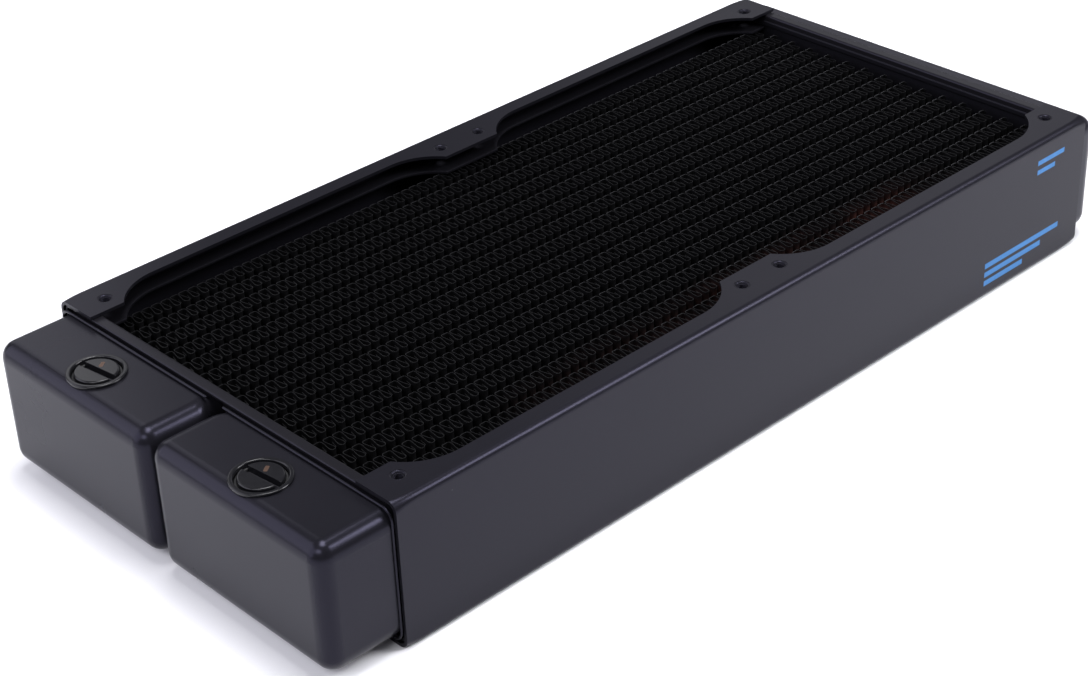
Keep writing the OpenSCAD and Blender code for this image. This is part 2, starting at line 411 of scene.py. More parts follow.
def ramp(nt, src, stops):
    r = nt.nodes.new("ShaderNodeValToRGB")
    nt.links.new(src, r.inputs["Fac"])
    el = r.color_ramp.elements
    el[0].position, el[0].color = stops[0][0], (*stops[0][1], 1)
    el[1].position, el[1].color = stops[1][0], (*stops[1][1], 1)
    for p, c in stops[2:]:
        e = el.new(p)
        e.color = (*c, 1)
    return r


def noise(nt, coord, scale, detail=3.0, rough=0.55):
    n = nt.nodes.new("ShaderNodeTexNoise")
    n.inputs["Scale"].default_value = scale
    n.inputs["Detail"].default_value = detail
    n.inputs["Roughness"].default_value = rough
    nt.links.new(coord, n.inputs["Vector"])
    return n


def math_node(nt, op, a, b=None, clamp=False):
    n = nt.nodes.new("ShaderNodeMath")
    n.operation = op
    n.use_clamp = clamp
    for i, x in enumerate((a, b)):
        if x is None:
            continue
        if isinstance(x, (int, float)):
            n.inputs[i].default_value = x
        else:
            nt.links.new(x, n.inputs[i])
    return n.outputs[0]


def mix_rgb(nt, fac, a, b):
    n = nt.nodes.new("ShaderNodeMix")
    n.data_type = "RGBA"
    if isinstance(fac, (int, float)):
        n.inputs[0].default_value = fac
    else:
        nt.links.new(fac, n.inputs[0])
    for i, x in ((6, a), (7, b)):
        if isinstance(x, tuple):
            n.inputs[i].default_value = (*x, 1)
        else:
            nt.links.new(x, n.inputs[i])
    return n.outputs[2]


def paint(name, base, rough, bump=0.35, marks=False, spec=0.182, coat=0.0):
    """Satin black powder coat: fine orange peel, slow changes of gloss, a few dust specks."""
    m, nt, bs = new_mat(name)
    co = node(nt, "ShaderNodeTexCoord").outputs["Object"]
    slow = noise(nt, co, 22.0, 3.0)
    fine = noise(nt, co, 1500.0, 2.0, 0.5)
    grain = noise(nt, co, 5200.0, 1.0, 0.5)
    c = mix_rgb(nt, slow.outputs["Fac"], tuple(x * 0.86 for x in base), tuple(x * 1.12 for x in base))
    grit = ramp(nt, grain.outputs["Fac"], [(0.42, (0, 0, 0)), (0.78, (1, 1, 1))])
    c = mix_rgb(nt, math_node(nt, "MULTIPLY", grit.outputs["Color"], 0.25), c,
                tuple(min(1.0, x * 2.1) for x in base))
    # specks of dust
    vo = nt.nodes.new("ShaderNodeTexVoronoi")
    vo.inputs["Scale"].default_value = 95.0
    nt.links.new(co, vo.inputs["Vector"])
    near = ramp(nt, vo.outputs["Distance"], [(0.0, (1, 1, 1)), (0.028, (0, 0, 0))])
    sep = nt.nodes.new("ShaderNodeSeparateColor")
    nt.links.new(vo.outputs["Color"], sep.inputs["Color"])
    few = math_node(nt, "GREATER_THAN", sep.outputs["Red"], 0.93)
    speck = math_node(nt, "MULTIPLY", near.outputs["Color"], few)
    c = mix_rgb(nt, math_node(nt, "MULTIPLY", speck, 0.35), c, (0.30, 0.29, 0.30))
    if marks:
        # two plain groups of blue stripes printed on the wall
        pos = nt.nodes.new("ShaderNodeSeparateXYZ")
        nt.links.new(co, pos.inputs["Vector"])
        x, y, z = pos.outputs

        def band(v, a, b, soft=0.00008):
            up = nt.nodes.new("ShaderNodeMapRange")
            up.inputs["From Min"].default_value = a - soft
            up.inputs["From Max"].default_value = a + soft
            nt.links.new(v, up.inputs["Value"])
            dn = nt.nodes.new("ShaderNodeMapRange")
            dn.inputs["From Min"].default_value = b + soft
            dn.inputs["From Max"].default_value = b - soft
            nt.links.new(v, dn.inputs["Value"])
            return math_node(nt, "MULTIPLY", up.outputs[0], dn.outputs[0])

        face = math_node(nt, "LESS_THAN", y, -(YO - 0.2) * MM)
        total = None
        for x0, x1, z0, z1 in STRIPES:
            b = math_node(nt, "MULTIPLY", band(x, x0 * MM, x1 * MM), band(z, z0 * MM, z1 * MM))
            total = b if total is None else math_node(nt, "MAXIMUM", total, b)
        mask = math_node(nt, "MULTIPLY", total, face)
        wear = ramp(nt, fine.outputs["Fac"], [(0.25, (0.86, 0.86, 0.86)), (0.6, (1, 1, 1))])
        mask2 = math_node(nt, "MULTIPLY", mask, wear.outputs["Color"])
        c = mix_rgb(nt, mask2, c, (0.036, 0.175, 0.42))
    nt.links.new(c, bs.inputs["Base Color"])
    r = nt.nodes.new("ShaderNodeMapRange")
    r.inputs["To Min"].default_value = rough - 0.045
    r.inputs["To Max"].default_value = rough + 0.055
    nt.links.new(slow.outputs["Fac"], r.inputs["Value"])
    rr = math_node(nt, "ADD", r.outputs[0], math_node(nt, "MULTIPLY", speck, 0.3))
    nt.links.new(rr, bs.inputs["Roughness"])
    bs.inputs["Specular IOR Level"].default_value = spec
    # painted light: the lavender specular tint stands in for the bluish cast of the studio light in the reflections
    bs.inputs["Specular Tint"].default_value = (0.70, 0.675, 1.0, 1.0)
    bs.inputs["Coat Weight"].default_value = coat
    bs.inputs["Coat Roughness"].default_value = 0.12
    hsum = math_node(nt, "ADD", math_node(nt, "MULTIPLY", fine.outputs["Fac"], 1.0),
                     math_node(nt, "MULTIPLY", grain.outputs["Fac"], 0.35))
    bp = nt.nodes.new("ShaderNodeBump")
    bp.inputs["Strength"].default_value = bump
    bp.inputs["Distance"].default_value = 0.000012
    nt.links.new(hsum, bp.inputs["Height"])
    nt.links.new(bp.outputs["Normal"], bs.inputs["Normal"])
    return m


def fin_paint(name):
    """Copper fin sheet with a thin black coat: black at the faces, copper showing deeper down on the -Y rows, partly a
    painted glint; the lighter cut edges and +Y fold tops are painted highlights.
    """
    m, nt, bs = new_mat(name)
    co = node(nt, "ShaderNodeTexCoord").outputs["Object"]
    pos = nt.nodes.new("ShaderNodeSeparateXYZ")
    nt.links.new(co, pos.inputs["Vector"])
    # copper shows with depth below either face, and is laid only on the -Y rows between two x limits: real copper under
    # the thin coat, and partly a painted glint where light catches those rows
    d = math_node(nt, "ABSOLUTE", math_node(nt, "SUBTRACT", pos.outputs[2], ZM * MM))
    depth = math_node(nt, "DIVIDE", math_node(nt, "SUBTRACT", 0.01605, d), 0.002, clamp=True)
    copper_glint_side = math_node(nt, "DIVIDE", math_node(nt, "SUBTRACT", -0.042, pos.outputs[1]), 0.016, clamp=True)
    far = math_node(nt, "DIVIDE", math_node(nt, "ADD", pos.outputs[0], 0.090), 0.16, clamp=True)
    copper_glint_side = math_node(nt, "MULTIPLY", copper_glint_side, far)
    end = math_node(nt, "DIVIDE", math_node(nt, "SUBTRACT", 0.105, pos.outputs[0]), 0.030, clamp=True)
    copper_glint_side = math_node(nt, "MULTIPLY", copper_glint_side, end)
    patch = noise(nt, co, 45.0, 3.0)
    spot = noise(nt, co, 900.0, 2.0)
    pr = ramp(nt, patch.outputs["Fac"], [(0.42, (0, 0, 0)), (0.62, (1, 1, 1))])
    amt = math_node(nt, "MULTIPLY", math_node(nt, "MULTIPLY", depth, copper_glint_side),
                    math_node(nt, "ADD", math_node(nt, "MULTIPLY", pr.outputs["Color"], 0.7), 0.15), clamp=True)
    amt = math_node(nt, "MULTIPLY", amt, math_node(nt, "ADD", spot.outputs["Fac"], 0.4), clamp=True)
    # painted highlight and shade: the cut edges at both faces get a lighter base colour than the coated walls below
    # them
    edge = math_node(nt, "DIVIDE", math_node(nt, "SUBTRACT", d, 0.01588), 0.00008, clamp=True)
    wall = mix_rgb(nt, edge, (0.0028, 0.0028, 0.0031), (0.0050, 0.0050, 0.0056))
    # painted highlight: the top edges of the folds on the +Y side are painted lighter, more so towards the return end
    row = math_node(nt, "FRACT", math_node(nt, "ADD", math_node(nt, "DIVIDE", pos.outputs[1], 0.008), 8.5))
    crest = math_node(nt, "DIVIDE", math_node(nt, "SUBTRACT", row, 0.775), 0.05, clamp=True)
    crest_highlight_gain = math_node(nt, "DIVIDE", math_node(nt, "ADD", pos.outputs[0], 0.150), 0.28, clamp=True)
    crest = math_node(nt, "MULTIPLY", math_node(nt, "MULTIPLY", edge, crest), crest_highlight_gain)
    wall = mix_rgb(nt, crest, wall, (0.040, 0.040, 0.043))
    # copper where the coat is thin, partly a painted glint on the -Y rows
    amt = math_node(nt, "MULTIPLY", amt, 0.85)
    c = mix_rgb(nt, amt, wall, (0.12, 0.040, 0.030))
    nt.links.new(c, bs.inputs["Base Color"])
    met = math_node(nt, "MULTIPLY", amt, 0.4, clamp=True)
    nt.links.new(met, bs.inputs["Metallic"])
    r = nt.nodes.new("ShaderNodeMapRange")
    r.inputs["To Min"].default_value = 0.40
    r.inputs["To Max"].default_value = 0.56
    sp = nt.nodes.new("ShaderNodeMapRange")
    sp.inputs["To Min"].default_value = 0.15
    sp.inputs["To Max"].default_value = 0.21
    nt.links.new(edge, sp.inputs["Value"])
    nt.links.new(sp.outputs[0], bs.inputs["Specular IOR Level"])
    nt.links.new(spot.outputs["Fac"], r.inputs["Value"])
    nt.links.new(r.outputs[0], bs.inputs["Roughness"])
    bp = nt.nodes.new("ShaderNodeBump")
    bp.inputs["Strength"].default_value = 0.4
    bp.inputs["Distance"].default_value = 0.00002
    nt.links.new(spot.outputs["Fac"], bp.inputs["Height"])
    nt.links.new(bp.outputs["Normal"], bs.inputs["Normal"])
    return m


def rubber(name):
    m, nt, bs = new_mat(name)
    co = node(nt, "ShaderNodeTexCoord").outputs["Object"]
    n1 = noise(nt, co, 2600.0, 3.0)
    c = mix_rgb(nt, n1.outputs["Fac"], (0.010, 0.010, 0.011), (0.019, 0.019, 0.020))
    nt.links.new(c, bs.inputs["Base Color"])
    r = nt.nodes.new("ShaderNodeMapRange")
    r.inputs["To Min"].default_value = 0.48
    r.inputs["To Max"].default_value = 0.66
    nt.links.new(n1.outputs["Fac"], r.inputs["Value"])
    nt.links.new(r.outputs[0], bs.inputs["Roughness"])
    bp = nt.nodes.new("ShaderNodeBump")
    bp.inputs["Strength"].default_value = 0.3
    bp.inputs["Distance"].default_value = 0.00001
    nt.links.new(n1.outputs["Fac"], bp.inputs["Height"])
    nt.links.new(bp.outputs["Normal"], bs.inputs["Normal"])
    return m


def plated(name, marks=None):
    """Glossy black plated brass with faint turning rings round each port's axis."""
    m, nt, bs = new_mat(name)
    co = node(nt, "ShaderNodeTexCoord").outputs["Object"]
    pos = nt.nodes.new("ShaderNodeSeparateXYZ")
    nt.links.new(co, pos.inputs["Vector"])
    dx = math_node(nt, "SUBTRACT", pos.outputs[0], PORT_X * MM)
    dy = math_node(nt, "SUBTRACT", math_node(nt, "ABSOLUTE", pos.outputs[1]), PORT_Y * MM)
    rad = math_node(nt, "SQRT", math_node(nt, "ADD", math_node(nt, "MULTIPLY", dx, dx),
                                          math_node(nt, "MULTIPLY", dy, dy)))
    rings = math_node(nt, "SINE", math_node(nt, "MULTIPLY", rad, 2 * math.pi / 0.00035))
    n1 = noise(nt, co, 700.0, 3.0)
    c = mix_rgb(nt, n1.outputs["Fac"], (0.0056, 0.0056, 0.0068), (0.0086, 0.0086, 0.0102))
    nt.links.new(c, bs.inputs["Base Color"])
    bs.inputs["Metallic"].default_value = 0.15
    r = nt.nodes.new("ShaderNodeMapRange")
    r.inputs["To Min"].default_value = 0.17
    r.inputs["To Max"].default_value = 0.27
    nt.links.new(n1.outputs["Fac"], r.inputs["Value"])
    nt.links.new(r.outputs[0], bs.inputs["Roughness"])
    bs.inputs["Specular IOR Level"].default_value = 0.25
    bs.inputs["Coat Weight"].default_value = 0.15
    bs.inputs["Coat Roughness"].default_value = 0.10
    bp = nt.nodes.new("ShaderNodeBump")
    bp.inputs["Strength"].default_value = 0.03
    bp.inputs["Distance"].default_value = 0.000003
    nt.links.new(rings, bp.inputs["Height"])
    nt.links.new(bp.outputs["Normal"], bs.inputs["Normal"])
    return m


def brass_painted(name):
    m, nt, bs = new_mat(name)
    co = node(nt, "ShaderNodeTexCoord").outputs["Object"]
    n1 = noise(nt, co, 180.0, 4.0)
    fac = ramp(nt, n1.outputs["Fac"], [(0.45, (0, 0, 0)), (0.75, (1, 1, 1))])
    c = mix_rgb(nt, math_node(nt, "MULTIPLY", fac.outputs["Color"], 0.35), (0.014, 0.014, 0.016), (0.075, 0.050, 0.028))
    nt.links.new(c, bs.inputs["Base Color"])
    bs.inputs["Roughness"].default_value = 0.42
    bp = nt.nodes.new("ShaderNodeBump")
    bp.inputs["Strength"].default_value = 0.3
    bp.inputs["Distance"].default_value = 0.00002
    nt.links.new(n1.outputs["Fac"], bp.inputs["Height"])
    nt.links.new(bp.outputs["Normal"], bs.inputs["Normal"])
    return m


PORT_X = CX - 153.7
PORT_Y = 35.4
# x0, x1, z0, z1 of each printed stripe on the -Y wall, near the return end
STRIPES = [(CX + 93.0, CX + 130.5, 10.4, 12.2), (CX + 93.0, CX + 121.5, 7.4, 9.2), (CX + 93.0, CX + 112.5, 4.4, 6.2),
           (CX + 117.0, CX + 130.5, 36.6, 38.2), (CX + 117.0, CX + 126.0, 33.4, 35.0)]
M_PANEL = paint("panel_powder_coat", (0.0072, 0.0070, 0.0090), 0.31, marks=False)
M_PANEL_R = paint("panel_powder_coat_marked", (0.0072, 0.0070, 0.0090), 0.31, marks=True)
M_TANK = paint("tank_paint", (0.0072, 0.0070, 0.0090), 0.26, bump=0.25, spec=0.19)
# painted light: the return tank's paint is a lighter copy of the tank paint
M_TANK_R = paint("return_tank_paint", (0.0108, 0.0105, 0.0135), 0.30, bump=0.25, spec=0.22)
# painted shade: near-black paint for the return tank's bead, standing in for a dark groove
M_GROOVE_SHADE = paint("groove_shade_paint", (0.0018, 0.0018, 0.0021), 0.60, bump=0.25, spec=0.05)
M_HEAD = paint("header_paint", (0.0074, 0.0071, 0.0084), 0.28, bump=0.28)
# painted shade: a darker, rougher copy of the panel paint for faces under the flanges and inside the pans, collars and
# core
M_INNER_SHADE = paint("inner_shade_paint", (0.0040, 0.0039, 0.0045), 0.55, bump=0.3, spec=0.14)
M_FIN = fin_paint("fin_coated_copper")
M_TUBE = brass_painted("tube_coated_brass")
M_RUBBER = rubber("seal_rubber")
M_PLUG = plated("plug_black_plating")
M_BUSH = plated("bushing_black_plating")


def accent(name, col):
    m, nt, bs = new_mat(name)
    co = node(nt, "ShaderNodeTexCoord").outputs["Object"]
    n1 = noise(nt, co, 1200.0, 2.0)
    c = mix_rgb(nt, n1.outputs["Fac"], tuple(x * 0.75 for x in col), tuple(x * 1.15 for x in col))
    nt.links.new(c, bs.inputs["Base Color"])
    bs.inputs["Roughness"].default_value = 0.35
    bs.inputs["Metallic"].default_value = 0.5
    return m


M_MARK = accent("plug_bar", (0.095, 0.055, 0.038))


# ---------------------------------------------------------------- side channels
def flange_contour(inset=0.0, n=20):
    """Free edge of the flange on the +Y side, from the port end to the return end."""
    r = ORAD - inset
    yy = OPEN - ORAD
    a0 = math.degrees(math.asin((EAR + inset - yy) / r)) if inset else math.degrees(math.asin((EAR - yy) / r))
    right = []
    # middle ear's half, then the bay, then the end ear (positive x side)
    right.append((0.0, EAR + inset))
    right += arc(BX0 + ORAD, yy, r, 180 - a0, 90, n)
    right += arc(BX1 - ORAD, yy, r, 90, a0, n)
    right.append((HALF, EAR + inset))
    left = [(-x, y) for x, y in reversed(right)][:-1]
    return left + right


def circle_pts(cx, cy, r, n=40):
    return [(cx + r * math.cos(2 * math.pi * k / n), cy + r * math.sin(2 * math.pi * k / n)) for k in range(n)]


def bend_r(x):
    """Outer bend radius; it opens up over the last few millimetres."""
    d = HALF - abs(x)
    return 2.0 + 1.1 * max(0.0, 1.0 - d / 7.0) ** 2


def channel_mesh(side):
    """side = 1 for the +Y channel, -1 for the -Y channel."""
    near = [0.0, 1.2, 2.4, 3.6, 5.0, 7.0]
    xs = [-HALF + d for d in near] + [HALF - d for d in reversed(near)]
    con = flange_contour()
    outline = con + [(x, YO - bend_r(x)) for x in reversed(xs)]
    hole_r = 2.25
    holes = [list(reversed(circle_pts(x, HY, hole_r))) for x in HXS]
    s = Soup()
    pt, ft = fill(outline, holes)
    for z, flip in ((H, False), (H - SHEET, True)):
        s.add([(x, y, z) for x, y in pt], [tuple(reversed(t)) if flip else t for t in ft])
        s.add([(x, y, H - z) for x, y in pt], [t if flip else tuple(reversed(t)) for t in ft])
    # walls of the free edge and holes, top and bottom
    for za, zb in ((H, H - SHEET), (SHEET, 0.0)):
        n = len(con)
        s.add([(x, y, za) for x, y in con] + [(x, y, zb) for x, y in con],
              [(i, n + i, n + i + 1, i + 1) for i in range(n - 1)])
        for h in holes:
            n = len(h)
            s.add([(x, y, za) for x, y in h] + [(x, y, zb) for x, y in h],
                  [(i, (i + 1) % n, n + (i + 1) % n, n + i) for i in range(n)])
    # section of bends and web, outer then inner
    nb = 8

    def profile(x, t):
        ro = bend_r(x)
        yb, rr = YO - ro, ro - t
        p = [(yb + rr * math.sin(math.radians(90 * k / nb)), H - ro + rr * math.cos(math.radians(90 * k / nb))) for k in range(nb + 1)]
        return p + [(y, H - z) for y, z in reversed(p)]

    for t, flip in ((0.0, False), (SHEET, True)):
        for xa, xb in zip(xs[:-1], xs[1:]):
            pa, pb = profile(xa, t), profile(xb, t)
            m = len(pa)
            v = [(xa, y, z) for y, z in pa] + [(xb, y, z) for y, z in pb]
            f = [(i, i + 1, m + i + 1, m + i) for i in range(m - 1)]
            s.add(v, [tuple(reversed(q)) if flip else q for q in f])
    # end caps: quads between the outer and the inner section keep them tidy
    for x in (-HALF, HALF):
        o = [(x, EAR, H)] + [(x, y, z) for y, z in profile(x, 0.0)] + [(x, EAR, 0.0)]
        q = [(x, EAR, H - SHEET)] + [(x, y, z) for y, z in profile(x, SHEET)] + [(x, EAR, SHEET)]
        k = len(o)
        f = [(i, i + 1, k + i + 1, k + i) for i in range(k - 1)]
        if x > 0:
            f = [tuple(reversed(t)) for t in f]
        s.add(o + q, f)
    bm = s.bm(1e-3)
    bmesh.ops.recalc_face_normals(bm, faces=bm.faces[:])
    bmesh.ops.dissolve_limit(bm, angle_limit=math.radians(0.4), verts=bm.verts[:], edges=bm.edges[:])
    bevel_sharp(bm, 0.14, 50.0, 2)
    bmesh.ops.triangulate(bm, faces=[f for f in bm.faces if len(f.verts) > 4])
    # drawn and threaded collars
    for x in HXS:
        for top in (True, False):
            prof = collar_profile()
            v, f = lathe(prof, (x, HY), 40)
            if not top:
                v = [(a, b, H - c) for a, b, c in v]
                f = [tuple(reversed(t)) for t in f]
            base = [bm.verts.new(p) for p in v]
            for t in f:
                q = bm.faces.new([base[i] for i in t])
                # painted shade: collar faces below the top 0.3 mm take the darker inner paint
                if abs(q.calc_center_median().z - ZM) < ZM - 0.30:
                    q.material_index = 1
    for v in bm.verts:
        v.co.x += CX
        if side < 0:
            v.co.y = -v.co.y
    if side < 0:
        bmesh.ops.reverse_faces(bm, faces=bm.faces[:])
    return bm


def collar_profile():
    p = [(2.25, H - 0.12), (2.18, H - 0.06), (2.05, H - 0.04), (1.88, H - 0.10), (1.70, H - 0.24),
         (1.56, H - 0.42), (1.48, H - 0.60)]
    z = H - 0.68
    while z > H - 2.35:
        p += [(1.27, z), (1.47, z - 0.25)]
        z -= 0.5
    p += [(1.40, H - 2.45), (1.55, H - 2.5), (2.02, H - 2.5), (2.18, H - 2.42), (2.20, H - 2.2), (2.20, H - 1.25),
          (2.24, H - 1.05), (2.25, H - 0.95)]
    return list(reversed(p))


for side, nm, mt in ((1, "side_panel_left", M_PANEL), (-1, "side_panel_right", M_PANEL_R)):
    bm_object(nm + "_sheet", channel_mesh(side), replaces=(nm,), slot="painted_steel", mats=(mt, M_INNER_SHADE), angle=35)


# ---------------------------------------------------------------- screw guards
def guard_mesh(side, top):
    x1 = 136.3
    con = [p for p in flange_contour() if abs(p[0]) < x1 - 0.01]
    con = [(-x1, EAR)] + con + [(x1, EAR)]
    outline = con + [(x1, YI - 0.02), (-x1, YI - 0.02)]
    z0, z1 = ZM + 16.15, ZM + 16.95
    s = slab(outline, outline, [], [], z0, z1)
    bm = s.bm(1e-3)
    bmesh.ops.recalc_face_normals(bm, faces=bm.faces[:])
    bmesh.ops.dissolve_limit(bm, angle_limit=math.radians(0.5), verts=bm.verts[:], edges=bm.edges[:])
    bevel_sharp(bm, 0.14, 50.0, 2)
    bmesh.ops.triangulate(bm, faces=[f for f in bm.faces if len(f.verts) > 4])
    for v in bm.verts:
        v.co.x += CX
        if side < 0:
            v.co.y = -v.co.y
        if not top:
            v.co.z = H - v.co.z
    if side * (1 if top else -1) < 0:
        bmesh.ops.reverse_faces(bm, faces=bm.faces[:])
    return bm


for side, sn in ((1, "left"), (-1, "right")):
    for top, tn in ((True, "top"), (False, "bottom")):
        nm = f"{tn}_screw_guard_{sn}"
        # painted shade: the guards under the flanges take the darker inner paint
        bm_object(nm + "_sheet", guard_mesh(side, top), replaces=(nm,), slot="painted_steel", mats=(M_INNER_SHADE,), angle=35)


# ---------------------------------------------------------------- header pans
def rounded_loop(hy, hz, r, n=6):
    """Closed loop in Y and Z about the middle height, with outward normals."""
    pts = []
    for sy, sz, a0 in ((1, 1, 0), (-1, 1, 90), (-1, -1, 180), (1, -1, 270)):
        cy, cz = sy * (hy - r), sz * (hz - r)
        for k in range(n + 1):
            a = math.radians(a0 + 90 * k / n)
            pts.append((cy + r * math.cos(a), cz + r * math.sin(a)))
    return pts


def header_mesh(sx):
    hy, hz = YI - 0.05, 21.05
    # rim section as (x, inset): from the tube plate's fin side, round the bend, along the rim,
    # over its rounded free edge and back inside to the plate's tank side
    br, xb = 0.75, 136.85
    sec = [(136.4, 3.4), (136.4, 2.40), (136.43, 2.22), (136.52, 2.10), (136.78, 2.02), (xb, 1.92), (xb, br)]
    sec += [(xb + br - br * math.cos(math.radians(a)), br - br * math.sin(math.radians(a))) for a in (18, 36, 54, 72, 90)]
    sec += [(138.6, 0.0), (139.95, 0.0)]
    er = 0.45
    sec += [(139.95 + er * math.sin(math.radians(a)), er - er * math.cos(math.radians(a))) for a in (22, 45, 68, 90)]
    sec += [(140.4, 1.0 - 0.15), (140.3, 0.97), (140.1, 1.0), (138.0, 1.0), (137.6, 1.1), (137.4, 1.5), (137.4, 3.4)]
    rings = []
    s = Soup()
    for x, inset in sec:
        r = max(0.3, 2.0 - inset)
        lp = rounded_loop(hy - inset, hz - inset, r)
        rings.append(s.add([(x, y, ZM + z) for y, z in lp], []))
    n = len(rounded_loop(hy, hz, 2.0))
    for a, b in zip(rings[:-1], rings[1:]):
        s.f += [(a + k, a + (k + 1) % n, b + (k + 1) % n, b + k) for k in range(n)]
    # stepped plate: the middle is pressed 0.5 mm towards the tank
    sec2 = [(136.4, 3.4), (136.48, 3.6), (136.75, 3.95), (136.85, 4.3)]
    inner_loop = None
    prev = rings[0]
    for x, inset in sec2[1:]:
        lp = rounded_loop(hy - inset, hz - inset, 0.4)
        cur = s.add([(x, y, ZM + z) for y, z in lp], [])
        s.f += [(prev + (k + 1) % n, prev + k, cur + k, cur + (k + 1) % n) for k in range(n)]
        prev = cur
        inner_loop = lp
    front_x = sec2[-1][0]
    back_loop = rounded_loop(hy - 3.4, hz - 3.4, 0.3)
    slots = []
    for i in range(14):
        yc = (i - 6.5) * 8.0
        hw, hh = 1.27, 13.02
        pts = [(yc + hw * math.cos(math.radians(a)), (hh - hw) + hw * math.sin(math.radians(a))) for a in range(0, 181, 30)]
        pts += [(yc + hw * math.cos(math.radians(a)), -(hh - hw) + hw * math.sin(math.radians(a))) for a in range(180, 361, 30)]
        slots.append(list(reversed(pts)))
    pf, ff = fill(inner_loop, slots)
    s.add([(front_x, y, ZM + z) for y, z in pf], ff)
    pb, fb = fill(back_loop, slots)
    s.add([(137.4, y, ZM + z) for y, z in pb], [tuple(reversed(t)) for t in fb])
    for sl in slots:
        k = len(sl)
        s.add([(front_x, y, ZM + z) for y, z in sl] + [(137.4, y, ZM + z) for y, z in sl],
              [(i, (i + 1) % k, k + (i + 1) % k, k + i) for i in range(k)])
    bm = s.bm(1e-3)
    # painted shade: the wetted and the core-side faces of the plate take the darker, duller inner paint
    for f in bm.faces:
        c = f.calc_center_median()
        if c.x < 136.87 and abs(c.z - ZM) < 19.1 and abs(c.y) < hy - 1.95:
            f.material_index = 1
    for v in bm.verts:
        v.co.x = CX + sx * v.co.x
    bmesh.ops.recalc_face_normals(bm, faces=bm.faces[:])
    return bm


bm_object("front_header_pan", header_mesh(-1), replaces=("front_header_plate",), slot="painted_brass", mats=(M_HEAD, M_INNER_SHADE), angle=40)
bm_object("rear_header_pan", header_mesh(1), replaces=("rear_header_plate",), slot="painted_brass", mats=(M_HEAD, M_INNER_SHADE), angle=40)


# ---------------------------------------------------------------- tanks
def tank_mesh(y0, y1, depth, radii, gap):
    """Pressed tank at the +X end, open towards the core. radii: rx (far end), ry0, ry1, rz."""
    hz = 19.35
    rx, ry0, ry1, rz = radii
    x_end = HALF + depth
    ns = 9
    s = Soup()

    def ease(a):
        """Slightly flatter start and end of the rounding than a plain quarter circle."""
        c, q = math.cos(a), math.sin(a)
        p = 0.96
        return math.copysign(abs(c) ** p, c) if abs(c) > 1e-9 else 0.0, math.copysign(abs(q) ** p, q) if abs(q) > 1e-9 else 0.0

    def section(g, x, shift=0.0):
        loop = []
        ya = y0 + shift
        corners = ((y1, 1, ry1), (ya, -1, ry0), (ya, -1, ry0), (y1, 1, ry1))
        for q, (ye, sy, ry) in enumerate(corners):
            sz = 1 if q < 2 else -1
            cy = ye - sy * ry
            cz = sz * (hz - rz)
            for k in range(ns + 1):
                t = math.radians(90.0 * k / ns)
                c, v = ease(t)
                if q in (1, 3):
                    c, v = v, c
                loop.append((x, cy + sy * ry * g * c, ZM + cz + sz * rz * g * v))
        return loop

    def tuck(rg):
        return [(x, max(-69.35, min(y, 69.35)), z) for x, y, z in rg]

    rings = [tuck(section(1, 137.6, 1.2 if gap else 0.0)), tuck(section(1, 140.9, 1.2 if gap else 0.0))]
    if gap:
        for x, k in ((141.5, 1.12), (142.2, 0.86), (142.9, 0.54), (143.6, 0.27), (144.4, 0.08), (145.2, 0.0)):
            rings.append(section(1, x, k))
    else:
        rings.append(section(1, 141.5))
        rings.append(section(1, 142.6))
    for k in range(ns + 1):
        c, v = ease(math.radians(90.0 * k / ns))
        rings.append(section(c, x_end - rx + rx * v))
    n = len(rings[0])
    idx = [s.add(r, []) for r in rings]
    for i in range(len(idx) - 1):
        a, b = idx[i], idx[i + 1]
        for k in range(n):
            k2 = (k + 1) % n
            s.f.append((a + k, a + k2, b + k2, b + k))
    last = rings[-1]
    m = ns + 1
    s.add([last[0], last[m], last[2 * m], last[3 * m]], [(0, 1, 2, 3)])
    bm = s.bm(2e-3)
    bmesh.ops.recalc_face_normals(bm, faces=bm.faces[:])
    return bm


